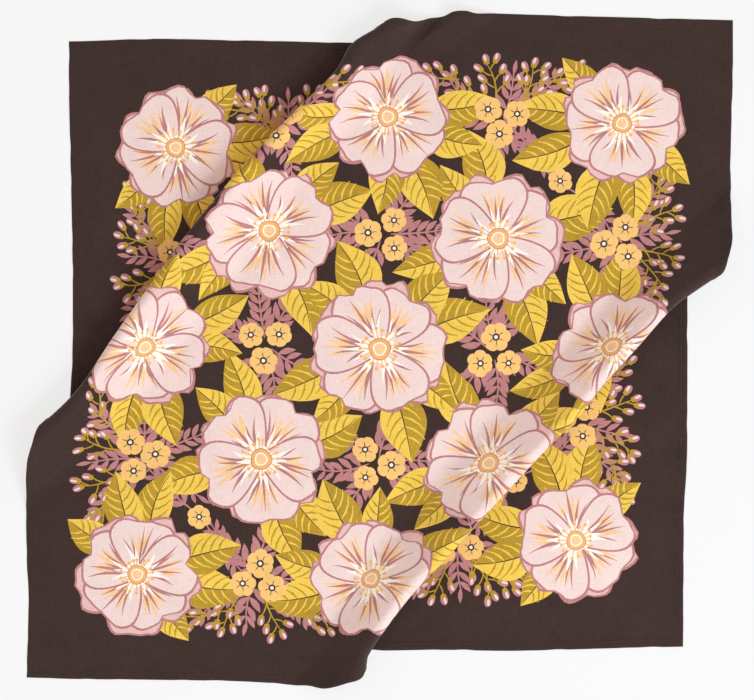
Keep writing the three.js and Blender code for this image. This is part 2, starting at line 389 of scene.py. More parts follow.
LOWER_RIGHT_WAVE = Wave(
    across=1,
    turn=0.04,
    sections=(
        WaveSection(-210, 192, 16, 38, 138, 39),
        WaveSection(-193, 185.5, 18, 37, 139, 39),
        WaveSection(-179, 178, 20, 35, 140, 39.5),
        WaveSection(-127, 167, 24, 33, 140, 41.3),
        WaveSection(-86, 164, 26, 34, 136, 43),
        WaveSection(-42, 160, 28, 31, 142, 44.7),
        WaveSection(22, 155, 30, 30, 145, 47.3),
        WaveSection(80, 152, 28, 32, 143, 48.5),
        WaveSection(108, 147, 26, 35, 139, 49),
        WaveSection(150, 143.5, 24, 37, 136, 49.5),
        WaveSection(190, 139.5, 20, 34, 141, 49.5),
        WaveSection(221, 143.3, 18, 32, 144, 49.5),
        WaveSection(255, 148.5, 16, 31, 144, 49.5),
    ),
    tuck=(),
    lower_hem=table(
        HemDrift,
        (0, 1.05), (30, 0.6), (77, -1.9), (123, -3.5), (150, -1.8), (166, 2), (180, 8), (197, 1.5),
        (222, 3.4), (254, 2.6), (300, 4.2), (360, 1.4), (395, 1.6),
    ),
    upper_hem=table(
        HemDrift,
        (0, 1.05), (34, 3.3), (86, 4.4), (127, 10), (140, 11), (156, 2), (196, 2), (240, 3.2),
        (286, 3.6), (320, 0.6), (395, 1.2),
    ),
)


class Crease(NamedTuple):
    """A soft ridge of the flat cloth, from one place to another, millimetres from its middle."""

    x0: float
    y0: float
    x1: float
    y1: float
    width: float
    height: float


@dataclass(frozen=True)
class ClothForm:
    """The shape in which the cloth lies: every place of the flat square has its point in space."""

    waves: tuple[Wave, Wave] = (UPPER_LEFT_WAVE, LOWER_RIGHT_WAVE)
    middle_turn: float = radians(-2.06)  # of the band between the waves, seen from above
    creases: tuple[Crease, ...] = table(
        Crease,
        (-146, -270, -150, -205, 5, 0.7), (-262, 150, -225, 128, 11, 0.9),
        (-262, 215, -214, 226, 16, 0.8), (60, 262, 92, 214, 14, 0.9),
        (150, 268, 165, 230, 12, 0.7), (262, 150, 214, 128, 13, 0.9),
        (266, -40, 228, -62, 12, 0.8), (-20, -262, -48, -214, 12, 0.9),
        (-262, -90, -224, -112, 14, 0.8), (120, -262, 128, -222, 15, 0.7),
        (-120, 30, -30, 96, 26, 0.9), (-40, -120, 60, -40, 28, 0.8), (189, 23, 197, -24, 7, 0.7),
        (168, -1, 181, -40, 7.5, 0.6), (100, -69, 109, -115, 7, 0.7),
    )
    crest_depth: float = 0.5  # how much deeper the underside lies inside a crest
    hem_profile: tuple[tuple[float, float], ...] = (  # distance from the edge, and the thickness there
        (0.0, 0.30),
        (0.3, 0.62),
        (0.9, 0.82),
        (2.4, 0.88),
        (3.9, 0.82),
        (4.5, 0.50),
        (5.1, 0.82),
        (5.9, 0.84),
        (6.6, 0.36),
        (7.4, 0.32),
    )
    step: float = 0.05  # for slopes
    swell_height: float = 0.14
    ripple_height: float = 0.3  # of the hems
    ripple_reach: float = 9.0  # how far into the cloth the hems ripple it
    nick: float = 0.35  # how far the edge is drawn in
    nick_reach: float = 5.0

    def before_centring(self, flat: np.ndarray) -> np.ndarray:
        """The underside's points for places of the flat square, millimetres.

        The flat x and y are turned by 45 degrees into a distance across the long diagonal and a place
        along it, each side's wave puts them in space, and the result is turned back and by the middle
        band's own turn.

        Args:
            flat: places (x, y) on the flat cloth.

        Returns:
            Points (x, y, z).
        """
        across, along = diagonal(flat)
        u_v_up = np.empty((len(flat), 3))
        for wave, side in zip(self.waves, (across < 0, across >= 0), strict=True):
            u_v_up[side] = wave.place(np.abs(across[side]), along[side])
        u, v, up = u_v_up.T
        x, y = (u + v) / ROOT2, (v - u) / ROOT2
        cos, sin = np.cos(self.middle_turn), np.sin(self.middle_turn)
        return np.stack([x * cos - y * sin, x * sin + y * cos, up], 1)

    def normals(self, flat: np.ndarray) -> np.ndarray:
        """The cloth's upward normals: the cross product of small steps along the flat x and the flat y.

        Args:
            flat: places on the flat cloth.

        Returns:
            Unit vectors.
        """
        along_x, along_y = np.array([self.step, 0]), np.array([0, self.step])
        tangent_x = self.before_centring(flat + along_x) - self.before_centring(flat - along_x)
        tangent_y = self.before_centring(flat + along_y) - self.before_centring(flat - along_y)
        normal = np.cross(tangent_x, tangent_y)
        return normal / np.linalg.norm(normal, axis=1)[:, None]

    @staticmethod
    def from_edge(flat: np.ndarray) -> np.ndarray:
        """Distance of each place from the nearest edge of the cloth."""
        return HALF - np.abs(flat).max(1)

    @staticmethod
    def round_hem(flat: np.ndarray) -> np.ndarray:
        """A length that runs along the nearest edge, with a start of its own on each of the four."""
        x, y = flat.T
        return np.where(np.abs(x) > np.abs(y), y + 700 * np.sign(x), x + 1900 * np.sign(y))

    def relief(self, flat: np.ndarray) -> np.ndarray:
        """How far the cloth lifts off its smooth form.

        Creases are ridges with the cross-section of a bell, which fade in and out along their length.
        Between them the cloth swells and sinks on a sum of long crossing waves, and the hems ripple.

        Args:
            flat: places on the flat cloth.

        Returns:
            Heights above the smooth form, never negative.
        """
        x, y = flat.T
        lift = np.zeros(len(flat))
        for crease in self.creases:
            start = np.array([crease.x0, crease.y0])
            run = np.array([crease.x1, crease.y1]) - start
            length = np.linalg.norm(run)
            share = ((flat - start) @ run) / length**2
            aside = ((flat - start) @ np.array([-run[1], run[0]])) / length
            aside = aside + 0.15 * crease.width * np.sin(6.3 * share)
            fade = smoothstep(share, -0.1, 0.35) * smoothstep(-share, -1.1, -0.5)
            lift += crease.height * fade * np.exp(-((aside / crease.width) ** 2))
        swell = (
            np.sin(x / 31 + 1.1 + 0.8 * np.sin(y / 47))
            + np.sin(y / 27 + 0.4 + 0.9 * np.sin(x / 53 + 2.0))
            + 0.6 * np.sin((x + y) / 19 + 0.7 * np.sin((x - y) / 37))
        )
        lift += self.swell_height * np.maximum(swell + 0.4, 0)
        around = self.round_hem(flat)
        ripple = np.sin(around / 9.7) + 0.8 * np.sin(around / 15.1 + 1.3) + 0.5 * np.sin(around / 5.3)
        near_edge = np.exp(-((self.from_edge(flat) / self.ripple_reach) ** 2))
        return lift + self.ripple_height * near_edge * np.maximum(ripple + 0.5, 0)

    def nicks(self, flat: np.ndarray) -> np.ndarray:
        """Draws the edge in a little here and there, as a hand-fed hem is.

        Args:
            flat: places on the flat cloth.

        Returns:
            The places, pulled towards the middle near the edge.
        """
        around = self.round_hem(flat)
        wander = np.sin(around / 7.9) * np.sin(around / 23.0 + 0.8) + 0.5 * np.sin(around / 4.1)
        near_edge = np.exp(-((self.from_edge(flat) / self.nick_reach) ** 2))
        pull = self.nick * near_edge * np.maximum(wander, 0)
        return flat * (1 - pull / HALF)[:, None]

    def thickness(self, flat: np.ndarray) -> np.ndarray:
        """The cloth's thickness, with the turned layers of the hem and the valley of its stitches."""
        at, height = np.array(self.hem_profile).T
        return np.interp(self.from_edge(flat), at, height)

    def hidden_depth(self, flat: np.ndarray) -> np.ndarray:
        """How much deeper the underside lies inside the crests, so that its chords stay hidden there."""
        across, along = diagonal(flat)
        return self.crest_depth * sum(wave.on_crest(wave.across * across, along) for wave in self.waves)

    def points(self, flat: np.ndarray, share: np.ndarray | float) -> np.ndarray:
        """Points of the cloth in metres, before centring.

        Args:
            flat: places on the flat cloth.
            share: place in the thickness, 0 for the underside and 1 for the upper side.

        Returns:
            Points (x, y, z).
        """
        pulled = self.nicks(flat)
        height = self.relief(flat) + self.thickness(flat) * share - self.hidden_depth(flat) * (1 - share)
        return (self.before_centring(pulled) + self.normals(pulled) * height[:, None]) * MM


# Shapes of the print, drawn flat in millimetres.


@dataclass(frozen=True)
class Inked:
    """One flat shape of the print: a closed outline filled with one ink."""

    ink: Ink
    outline: np.ndarray

    def moved(self, at: Sequence[float], turn: float) -> "Inked":
        """The shape in another place.

        Args:
            at: how far it is moved, after the turn.
            turn: angle about the origin in degrees.

        Returns:
            The moved shape.
        """
        cos, sin = np.cos(radians(turn)), np.sin(radians(turn))
        turned = self.outline @ np.array([[cos, sin], [-sin, cos]])
        return Inked(self.ink, turned + np.array(at, float))


def all_moved(shapes: Sequence[Inked], at: Sequence[float], turn: float) -> list[Inked]:
    """Several shapes, turned by an angle in degrees and moved together."""
    return [shape.moved(at, turn) for shape in shapes]


def lobe(
    length: float,
    width: float,
    neck: float = 0.2,
    bow: float = 0.0,
    ripple: float = 0.0,
    notch: float = 0.0,
    points: int = 26,
) -> np.ndarray:
    """A rounded petal along +x from its base at the origin.

    With s the share of the length, the half width is the square root of s (1 - s), times neck plus
    (1 - neck) s, scaled to the width. The tip's edge ripples, is drawn in at its middle by a bell-shaped
    notch, and the whole may bow sideways.

    Args:
        length: from base to tip.
        width: across the widest part.
        neck: how wide the base is, 1 being an ellipse.
        bow: how far the tip bends aside, as a share of the length.
        ripple: depth of the waves in the tip's edge, as a share of the length.
        notch: depth of the notch, as a share of the length.
        points: number of points.

    Returns:
        The closed outline.
    """
    angle = np.linspace(0, 2 * np.pi, points, endpoint=False)
    s = (1 - np.cos(angle)) / 2
    half = np.sqrt(s * (1 - s)) * (neck + (1 - neck) * s)
    y = np.sign(np.sin(angle)) * half / half.max() * width / 2
    wavy = ripple * s**2 * np.cos(5 * np.pi * y / width + 40 * bow)
    x = s * length * (1 + wavy - notch * s**4 * np.exp(-((y / (0.13 * width)) ** 2)))
    return np.stack([x, y + bow * x**2 / length], 1)


def on_bow(length: float, bow: float, s: np.ndarray | float) -> np.ndarray:
    """Points at shares s of a line along +x that bows aside by a share of its length, as a parabola."""
    return np.stack([s * length, bow * length * 4 * s * (1 - s)], -1)


@dataclass(frozen=True)
class Blade:
    """A leaf's blade along +x, pointed at both ends.

    The half width is the sine of pi times s to the power that puts its crest at the belly, where s is the
    share of the length.
    """

    length: float
    width: float
    bow: float = 0.0  # how far the middle bows aside, as a share of the length
    belly: float = 0.42  # where it is widest, as a share of the length
    points: int = 18

    def lines(self) -> tuple[np.ndarray, np.ndarray, np.ndarray]:
        """The upper edge, the midrib and the lower edge, from base to tip."""
        s = np.linspace(0, 1, self.points // 2 + 1)
        half = np.sin(np.pi * s ** (np.log(0.5) / np.log(self.belly))) * self.width / 2
        middle = on_bow(self.length, self.bow, s)
        aside = np.stack([np.zeros_like(half), half], 1)
        return middle + aside, middle, middle - aside

    def whole(self) -> np.ndarray:
        """The closed outline."""
        upper, _, lower = self.lines()
        return np.concatenate([upper, lower[-2:0:-1]])[::-1]

    def lower_half(self) -> np.ndarray:
        """The closed outline of the half to the right of the midrib."""
        _, middle, lower = self.lines()
        return np.concatenate([lower, middle[-2:0:-1]])


def brushed(path: np.ndarray, width: float, swell: float = 0.35, end: float = 0.12) -> np.ndarray:
    """A brush stroke along a path.

    The half width grows as a quarter sine up to the swell and then falls straight to the end's share.

    Args:
        path: points along the stroke.
        width: across its widest part.
        swell: where it is widest, as a share of its length.
        end: its width at the far end, as a share of the width.

    Returns:
        The closed outline.
    """
    s = np.linspace(0, 1, len(path))
    rising = 0.35 + 0.65 * np.sin(np.pi / 2 * np.clip(s / swell, 0, 1))
    falling = 1 - (1 - end) * np.clip((s - swell) / (1 - swell), 0, 1)
    run = np.gradient(path, axis=0)
    run = run / np.linalg.norm(run, axis=1)[:, None]
    aside = np.stack([-run[:, 1], run[:, 0]], 1) * (np.minimum(rising, falling) * width / 2)[:, None]
    return np.concatenate([path - aside, (path + aside)[::-1]])


def bowed(start: Sequence[float], end: Sequence[float], bow: float, points: int) -> np.ndarray:
    """A path between two points, as a parabola.

    Args:
        start: its first point.
        end: its last point.
        bow: how far its middle bows aside, as a share of its length.
        points: number of points.

    Returns:
        The points.
    """
    a, b = np.array(start, float), np.array(end, float)
    s = np.linspace(0, 1, points)[:, None]
    run = b - a
    return a + s * run + 4 * s * (1 - s) * bow * np.array([-run[1], run[0]])


def disc(radius: float, at: Sequence[float] = (0, 0), wobble: float = 0.0, points: int = 18) -> np.ndarray:
    """A round spot, a little out of true.

    Args:
        radius: its radius.
        at: its middle.
        wobble: how far it is out of true, as a share of the radius.
        points: number of points.

    Returns:
        The closed outline.
    """
    angle = np.linspace(0, 2 * np.pi, points, endpoint=False)
    r = radius * (1 + wobble * np.sin(3 * angle + at[0]) + 0.6 * wobble * np.sin(5 * angle + at[1]))
    return np.stack([at[0] + r * np.cos(angle), at[1] + r * np.sin(angle)], 1)


# Motifs of the print.


class Motif(Protocol):
    """Something that can be drawn into the print."""

    def shapes(self, rng: np.random.Generator) -> list[Inked]:
        """The motif's shapes about the origin or along +x, the furthest back first."""


@dataclass(frozen=True)
class Petal:
    """One broad petal of a rose: its dark edge, its body and the brush strokes on it."""

    length: float
    width: float
    body: Ink = Ink.PETAL
    edge: float = 1.9
    veins: int = 5

    def shapes(self, rng: np.random.Generator) -> list[Inked]:
        """The petal along +x, drawn by hand and so a little different each time."""
        bow = rng.uniform(-0.06, 0.06)
        body = lobe(self.length, self.width, 0.3, bow, rng.uniform(0.02, 0.04), rng.uniform(0.07, 0.15), 36)
        middle = np.array([self.length * 0.55, rng.uniform(-0.5, 0.5)])
        grown = 1 + 2 * self.edge / np.array([self.length, self.width])
        drawn = [Inked(Ink.MAUVE, middle + (body - middle) * grown), Inked(self.body, body)]
        peach = np.array([-0.5, -0.2, 0.12, 0.44])
        drawn += self.strokes(rng, Ink.PEACH, peach, (0.32, 0.45), (0.74, 0.92), (3.0, 4.8))
        shares = np.linspace(-0.7, 0.7, self.veins)
        drawn += self.strokes(rng, Ink.MAUVE, shares, (0.15, 0.22), (0.56, 0.96), (2.0, 3.0))
        drawn += self.strokes(rng, Ink.CREAM, shares[1:] - 0.16, (0.1, 0.12), (0.4, 0.58), (3.0, 4.6))
        return drawn

    def strokes(
        self,
        rng: np.random.Generator,
        ink: Ink,
        shares: np.ndarray,
        root: tuple[float, float],
        tip: tuple[float, float],
        width: tuple[float, float],
    ) -> list[Inked]:
        """Brush strokes that fan out from the petal's base.

        Args:
            rng: source of the unevenness.
            ink: their ink.
            shares: where each points, as a share of the petal's half width.
            root: least and greatest share of the length at which one starts.
            tip: the same for its end.
            width: least and greatest width.

        Returns:
            The strokes.
        """
        drawn = []
        for share in shares + rng.uniform(-0.06, 0.06, len(shares)):
            start = self.length * rng.uniform(*root)
            end = self.length * rng.uniform(*tip) * (1 - 0.2 * abs(share))
            aside = share * self.width / 2
            path = bowed((start, aside * start / self.length * 0.9), (end, aside * 0.92), -0.09 * share, 5)
            drawn.append(Inked(ink, brushed(path, rng.uniform(*width), 0.4, 0.1)))
        return drawn


class PetalRing(NamedTuple):
    """One ring of a rose's petals."""

    shift: float  # how far it is turned, in petals
    reach: float  # length of a petal as a share of the rose's radius
    wide: float  # its width against an even share of the ring
    ink: Ink


class EyeRing(NamedTuple):
    """One round spot of a rose's eye."""

    ink: Ink
    share: float  # its radius as a share of the rose's
    wobble: float
    points: int


@dataclass(frozen=True)
class Rose:
    """A full wild rose: broad petals over as many more, with a ring of stamens round its eye."""

    radius: float
    petals: int = 5
    stamens: int = 18
    rings: tuple[PetalRing, ...] = (
        PetalRing(0.5, 1.0, 0.92, Ink.PETAL_DEEP),
        PetalRing(0.0, 0.93, 1.08, Ink.PETAL),
    )
    eye: tuple[EyeRing, ...] = (
        EyeRing(Ink.MAUVE, 0.162, 0.04, 24),
        EyeRing(Ink.ORANGE, 0.15, 0.04, 24),
        EyeRing(Ink.CREAM, 0.1, 0.05, 18),
        EyeRing(Ink.PEACH, 0.078, 0.05, 16),
    )

    def shapes(self, rng: np.random.Generator) -> list[Inked]:
        """The bloom about the origin."""
        r, drawn, step = self.radius, [], 360 / self.petals
        breadth = 4.6 / self.petals
        for ring in self.rings:
            for k in rng.permutation(self.petals):
                length = r * ring.reach * rng.uniform(0.95, 1.04)
                width = r * breadth * ring.wide * rng.uniform(0.94, 1.04)
                petal = Petal(length, width, ring.ink).shapes(rng)
                drawn += all_moved(petal, (0, 0), (k + ring.shift) * step + rng.uniform(-5, 5))
        drawn.append(Inked(Ink.CREAM, disc(r * 0.2, wobble=0.09, points=26)))
        angles = np.linspace(0, 2 * np.pi, self.stamens, endpoint=False)
        for angle in angles + rng.uniform(-0.08, 0.08, self.stamens):
            reach = r * rng.uniform(0.23, 0.31)
            end = (reach * np.cos(angle), reach * np.sin(angle))
            drawn.append(Inked(Ink.ORANGE, brushed(bowed((0, 0), end, 0.0, 3), 1.0, 0.6, 0.8)))
            drawn.append(Inked(Ink.ORANGE, disc(r * 0.027, end, points=8)))
        for ring in self.eye:
            drawn.append(Inked(ring.ink, disc(r * ring.share, wobble=ring.wobble, points=ring.points)))
        return drawn


@dataclass(frozen=True)
class BroadLeaf:
    """A broad leaf in two tones, with a midrib and side veins."""

    size: float  # from the middle of the bloom that it grows behind to its tip
    shown: float = 0.66  # the leaf's own length as a share of the size
    veins: int = 5

    def shapes(self, rng: np.random.Generator) -> list[Inked]:
        """The leaf along +x."""
        length = self.size * self.shown * rng.uniform(0.94, 1.06)
        width = length * rng.uniform(0.48, 0.6)
        bow, belly = rng.uniform(-0.09, 0.09), rng.uniform(0.4, 0.48)
        upper, lower = (Ink.GOLD, Ink.OLIVE) if rng.random() < 0.5 else (Ink.OLIVE, Ink.GOLD)
        blade = Blade(length, width, bow, belly, 26)
        drawn = [Inked(upper, blade.whole()), Inked(lower, blade.lower_half())]
        for k in range(self.veins):
            s = 0.14 + 0.66 * k / self.veins
            root = on_bow(length, bow, s)
            reach = width * 0.5 * np.sin(np.pi * (s + 0.12)) * 0.8
            for side, ink in ((1, lower), (-1, upper)):
                tip = root + np.array([reach * 1.05, side * reach])
                drawn.append(Inked(ink, brushed(bowed(root, tip, 0.1 * side, 4), 1.8, 0.3, 0.3)))
        rib = bowed((0, 0), (length * 0.93, 0), bow / 0.93, 8)
        drawn.append(Inked(Ink.DARK, brushed(rib, 1.3, 0.1, 0.3)))
        return drawn


@dataclass(frozen=True)
class WillowSprig:
    """A thin stem with pairs of narrow leaves, in one ink."""

    length: float
    pair_step: float = 10.0
    leaf: float = 18.0
    ink: Ink = Ink.MAUVE

    def shapes(self, rng: np.random.Generator) -> list[Inked]:
        """The sprig along +x."""
        bow, pairs = rng.uniform(-0.1, 0.1), max(3, round(self.length / self.pair_step))
        stem = bowed((0, 0), (self.length, 0), bow, 9)
        drawn = [Inked(self.ink, brushed(stem, 1.8, 0.2, 0.5))]
        for k in range(pairs):
            s = 0.14 + 0.8 * k / pairs
            root = on_bow(self.length, bow, s)
            size = self.leaf * (1 - 0.45 * s) * rng.uniform(0.9, 1.1)
            for side in (1, -1):
                leaf = Inked(self.ink, Blade(size, size * 0.34, 0.05 * side, 0.5, 10).whole())
                drawn.append(leaf.moved(root, side * rng.uniform(34, 46)))
        last = Inked(self.ink, Blade(self.leaf * 0.7, 3.6, 0, 0.5, 12).whole())
        return [*drawn, last.moved(stem[-2], rng.uniform(-6, 6))]


@dataclass(frozen=True)
class FieldFlower:
    """A small flower of six round petals with a dark eye."""

    radius: float
    petals: int = 6

    def shapes(self, rng: np.random.Generator) -> list[Inked]:
        """The flower about the origin."""
        r, step, drawn = self.radius, 360 / self.petals, []
        for k in range(self.petals):
            petal = lobe(r * rng.uniform(0.93, 1.05), r * 0.86, 0.45, points=14)
            drawn.append(Inked(Ink.APRICOT, petal).moved((0, 0), k * step))
        for k in range(self.petals):
            line = brushed(bowed((r * 0.2, 0), (r * 0.62, 0), 0.0, 3), 0.9, 0.4)
            drawn.append(Inked(Ink.DARK, line).moved((0, 0), (k + 0.5) * step))
        drawn.append(Inked(Ink.DARK, disc(r * 0.26, points=12)))
        drawn.append(Inked(Ink.CREAM, disc(r * 0.13, points=8)))
        return drawn


@dataclass(frozen=True)
class BudSpray:
    """A branching golden stem that carries closed buds."""

    length: float
    buds: int = 5
    bud: float = 9.0

    def shapes(self, rng: np.random.Generator) -> list[Inked]:
        """The spray along +x."""
        bow, drawn = rng.uniform(-0.12, 0.12), []
        stem = bowed((0, 0), (self.length, 0), bow, 9)
        drawn.append(Inked(Ink.OLIVE, brushed(stem, 1.5, 0.2, 0.5)))
        for k in range(self.buds):
            s = 0.2 + 0.8 * k / self.buds
            root = on_bow(self.length, bow, s)
            turn = (1 if k % 2 else -1) * rng.uniform(38, 55)
            reach = self.bud * rng.uniform(1.0, 1.3) * (1.1 - 0.4 * s)
            tip = root + reach * np.array([np.cos(radians(turn)), np.sin(radians(turn))])
            drawn.append(Inked(Ink.OLIVE, brushed(bowed(root, tip, 0.08, 4), 1.2, 0.3, 0.8)))
            drawn += all_moved(self.bud_shapes(), tip, turn * 0.8)
        drawn += all_moved(self.bud_shapes(), stem[-1], 0)
        return drawn

    def bud_shapes(self) -> list[Inked]:
        """One bud: a drop with a lighter face, held in a calyx."""
        size = self.bud
        sepal = Inked(Ink.OLIVE, Blade(size * 0.5, size * 0.34, 0, 0.4, 6).whole())
        return [
            Inked(Ink.MAUVE, lobe(size, size * 0.66, 0.9, points=12)),
            Inked(Ink.PETAL, lobe(size * 0.62, size * 0.26, 0.9, points=8)).moved((size * 0.3, 0.4), 4),
            sepal.moved((-0.6, 0), 24),
            sepal.moved((-0.6, 0), -24),
        ]


class Placed(NamedTuple):
    """Where a motif stands in one quarter of the print, in millimetres and degrees."""

    x: float
    y: float
    turn: float
    size: float


@dataclass(frozen=True)
class FloralPrint:
    """The printed design: a centre rose and four like quarters of roses, leaves, sprigs and flowers."""

    rng: np.random.Generator = field(default_factory=lambda: np.random.default_rng(7))
    reach: float = 249.0  # from the middle to the print's furthest points
    centre_rose: float = 57.0
    roses: tuple[Placed, ...] = table(
        Placed,
        (94, 94, 20, 55), (192, 192, 50, 50), (191, 0, 5, 52),
    )
    leaves: tuple[Placed, ...] = table(
        Placed,
        (94, 94, 20, 94), (94, 94, 110, 94), (94, 94, 134, 80), (94, 94, 202, 92),
        (94, 94, 290, 94), (94, 94, -44, 80), (192, 192, 172, 88), (192, 192, 200, 92),
        (192, 192, 252, 90), (192, 192, 280, 88), (192, 192, 132, 72), (192, 192, -42, 72),
        (191, 0, 84, 88), (191, 0, 112, 92), (191, 0, 204, 92), (191, 0, 178, 78),
        (191, 0, -76, 92), (191, 0, -104, 84), (0, 0, 22, 94), (0, 0, 50, 84),
    )
    sprigs: tuple[Placed, ...] = table(
        Placed,
        (94, 0, 62, 54), (94, 0, -28, 48), (94, 0, -118, 54), (94, 0, 152, 48), (94, 0, 96, 46),
        (94, 0, -84, 46), (143, 143, 135, 60), (143, 143, -45, 60), (190, 95, 10, 40),
        (188, 97, 48, 58), (188, 93, -46, 56), (190, 95, 146, 54), (190, 95, -162, 48),
        (190, 95, -92, 42), (95, 190, 80, 40), (97, 188, 42, 58), (93, 188, 136, 56),
        (95, 190, -52, 54), (95, 190, 254, 48), (95, 190, 182, 42),
    )
    flowers: tuple[Placed, ...] = table(
        Placed,
        (95, 13, 10, 12), (83, -9, 40, 11), (106, -8, 20, 10.5), (180, 92, 15, 12),
        (197, 106, 35, 11), (200, 82, 5, 11.5), (92, 180, 25, 12), (106, 197, 5, 11),
        (82, 200, 45, 11.5), (143, 143, 30, 10),
    )
    sprays: tuple[Placed, ...] = table(
        Placed,
        (198, 100, 54, 48), (204, 106, 26, 34), (200, 90, -58, 46), (206, 88, -20, 32),
        (100, 198, 36, 48), (106, 204, 64, 34), (90, 200, 148, 46), (88, 206, 110, 32),
        (222, 128, 84, 34), (128, 222, 6, 34), (224, 58, -86, 34), (58, 224, 176, 34),
    )

    def layer(
        self, places: Sequence[Placed], kind: Callable[[float], Motif], root: float = 0.0
    ) -> list[Inked]:
        """The like motifs of all four quarters.

        Args:
            places: where they stand in one quarter.
            kind: makes a motif of a given size.
            root: how far from its place a motif starts, as a share of its size.

        Returns:
            Their shapes.
        """
        drawn: list[Inked] = []
        for quarter in range(4):
            for at in places:
                turn = at.turn + self.rng.uniform(-6, 6)
                along = np.array([np.cos(radians(at.turn)), np.sin(radians(at.turn))])
                place = np.array([at.x, at.y]) + along * root * at.size
                moved = all_moved(kind(at.size).shapes(self.rng), place, turn)
                if max(np.abs(shape.outline).max() for shape in moved) < self.reach:
                    drawn += all_moved(moved, (0, 0), 90 * quarter)
        return drawn

    def shapes(self) -> list[Inked]:
        """The whole print, the furthest back first."""
        return [
            *self.layer(self.sprigs, WillowSprig, 0.12),
            *self.layer(self.sprays, BudSpray),
            *self.layer(self.leaves, BroadLeaf, 0.34),
            *self.layer(self.flowers, FieldFlower),
            *self.layer(self.roses, Rose),
            *Rose(self.centre_rose, 6).shapes(self.rng),
        ]


# The cloth's mesh.


@dataclass(frozen=True)
class Facets:
    """A net of triangles on the flat cloth."""

    flat: np.ndarray
    triangles: np.ndarray

    def rim(self) -> np.ndarray:
        """The places on the cloth's edge, once round it."""
        on_edge = np.flatnonzero(ClothForm.from_edge(self.flat) < SAME_PLACE)
        x, y = self.flat[on_edge].T
        return on_edge[np.argsort(np.arctan2(y, x))]

    def inks(self, shapes: Sequence[Inked]) -> np.ndarray:
        """The ink on each triangle, which is that of the topmost shape at its middle.

        Args:
            shapes: the shapes of the print, the furthest back first.

        Returns:
            For each triangle the number of its ink.
        """
        palette = list(Ink)
        numbers = np.array([palette.index(shape.ink) for shape in shapes] + [palette.index(Ink.GROUND)])
        return numbers[topmost(self.flat[self.triangles].mean(1), [shape.outline for shape in shapes])]

    def lines_between(self, inks: np.ndarray) -> np.ndarray:
        """The edges whose two triangles have different inks.

        Args:
            inks: the number of each triangle's ink.

        Returns:
            The numbers of the two points of each such edge.
        """
        around = self.triangles[:, [0, 1, 1, 2, 2, 0]].reshape(-1, 2)
        edges, owners = np.sort(around, axis=1), np.repeat(np.arange(len(self.triangles)), 3)
        order = np.lexsort(edges.T)
        edges, owners = edges[order], owners[order]
        twins = np.flatnonzero((edges[1:] == edges[:-1]).all(1))
        return edges[twins[inks[owners[twins]] != inks[owners[twins + 1]]]]


def net_of(points: np.ndarray, edges: np.ndarray | None = None) -> Facets:
    """The Delaunay net of the points, in which given edges stay lines and are cut where they cross."""
    net = delaunay_2d_cdt(points.tolist(), [] if edges is None else edges.tolist(), [], 0, SAME_PLACE, True)
    return Facets(np.array([tuple(v) for v in net[0]]), np.array(net[2], int))


def printed_net(
    places: np.ndarray, shapes: Sequence[Inked], longest: Callable[[np.ndarray], np.ndarray]
) -> tuple[Facets, np.ndarray]:
    """Joins places of the flat cloth, and the visible lines of the print, in one net of triangles.

    A first net cuts all outlines at their crossings. Of its edges only those between two inks are
    visible. The second net keeps these, cut short where the cloth bends, and passes through the places.

    Args:
        places: points that the net passes through.
        shapes: the shapes of the print, the furthest back first.
        longest: gives the greatest length of a line at each of several places.

    Returns:
        The net, and the number of the ink of each of its triangles.
    """
    outlines = [shape.outline for shape in shapes]
    ends = np.cumsum([0, *map(len, outlines)])
    rounds = [np.append(np.arange(a + 1, b), a) for a, b in zip(ends[:-1], ends[1:], strict=True)]
    every = np.stack([np.arange(ends[-1]), np.concatenate(rounds)], 1)
    drawn = net_of(np.concatenate(outlines), every)
    lines = drawn.flat[drawn.lines_between(drawn.inks(shapes))]
    cut = cut_lines(lines, longest)
    points, ends = np.unique(cut.reshape(-1, 2), axis=0, return_inverse=True)
    places = places[~crowded(places, points) | (longest(places) < TIGHT)]
    net = net_of(np.concatenate([places, points]), ends.reshape(-1, 2) + len(places))
    return net, net.inks(shapes)


def crowded(places: np.ndarray, points: np.ndarray, cell: float = 4.0) -> np.ndarray:
    """Which places share a small square cell of the flat cloth with one of the points.

    Args:
        places: the places.
        points: the points.
        cell: side of a cell.

    Returns:
        True for each such place.
    """
    taken = np.zeros((int(SIDE / cell) + 2,) * 2, bool)
    taken[tuple(((points + HALF) / cell).astype(int).T)] = True
    return taken[tuple(((places + HALF) / cell).astype(int).T)]


def cut_lines(lines: np.ndarray, longest: Callable[[np.ndarray], np.ndarray]) -> np.ndarray:
    """Cuts lines into equal parts that are nowhere longer than is allowed there.

    Args:
        lines: the two ends of each line.
        longest: gives the greatest length at each of several places.

    Returns:
        The two ends of each part.
    """
    start, run = lines[:, 0], lines[:, 1] - lines[:, 0]
    allowed = np.min([longest(start + run * share) for share in np.linspace(0, 1, 5)], axis=0)
    parts = np.ceil(np.linalg.norm(run, axis=1) / allowed).astype(int)
    owner = np.repeat(np.arange(len(lines)), parts)
    number = np.arange(len(owner)) - np.repeat(np.cumsum(parts) - parts, parts)
    shares = np.stack([number, number + 1], 1) / parts[owner, None]
    cuts = start[owner, None] + shares[..., None] * run[owner, None]
    return np.where(shares[..., None] == 1, lines[owner, 1:], cuts)


